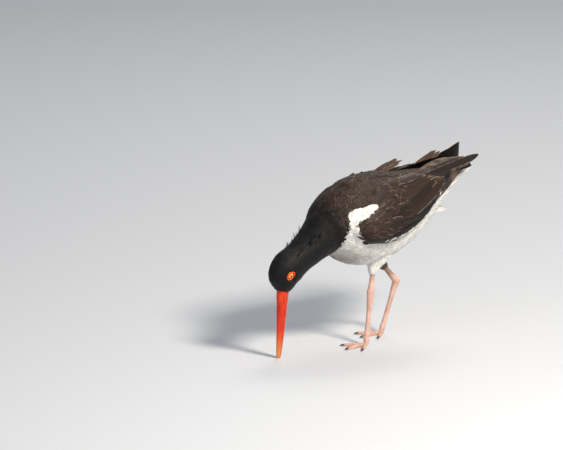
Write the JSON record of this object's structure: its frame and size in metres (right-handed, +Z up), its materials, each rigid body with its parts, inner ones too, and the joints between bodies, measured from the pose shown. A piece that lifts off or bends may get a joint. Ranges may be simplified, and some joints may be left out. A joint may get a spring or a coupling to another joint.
{
  "type": "oystercatcher",
  "caption": "Life-size standing American oystercatcher, a pied shorebird bent forward with its long red bill straight down to the ground.",
  "frame": {"origin": "the small flat at the tip of the bill, on the floor in the bird's middle plane", "axes": "+X to the bird's left, +Y back along the body to the tail, +Z up"},
  "size_m": [0.1135, 0.3102, 0.2146],
  "materials": {
    "white_feathers": "soft white plumage",
    "brown_feathers": "dark brown plumage with paler feather edges",
    "black_feathers": "sooty black plumage",
    "bill": "smooth horn, orange-red",
    "iris": "wet and clear, yellow-orange",
    "eye_ring": "bare fleshy skin, red-orange",
    "leg_skin": "scaled skin, pale pink",
    "claw": "dark horn"
  },
  "bodies": {
    "root": {"breast": "black_feathers", "back": "brown_feathers", "belly": "white_feathers", "tail": "black_feathers", "wing_left": "brown_feathers", "wing_right": "brown_feathers", "neck": "black_feathers", "head": "black_feathers", "bill_upper": "bill", "bill_lower": "bill", "eye_left": "iris", "eye_right": "iris", "eye_ring_left": "eye_ring", "eye_ring_right": "eye_ring", "thigh_left": "white_feathers", "thigh_right": "white_feathers", "shank_left": "leg_skin", "shank_right": "leg_skin", "foot_left": "leg_skin", "foot_right": "leg_skin", "claw_left_inner": "claw", "claw_left_middle": "claw", "claw_left_outer": "claw", "claw_right_inner": "claw", "claw_right_middle": "claw", "claw_right_outer": "claw"}
  },
  "joints": []
}
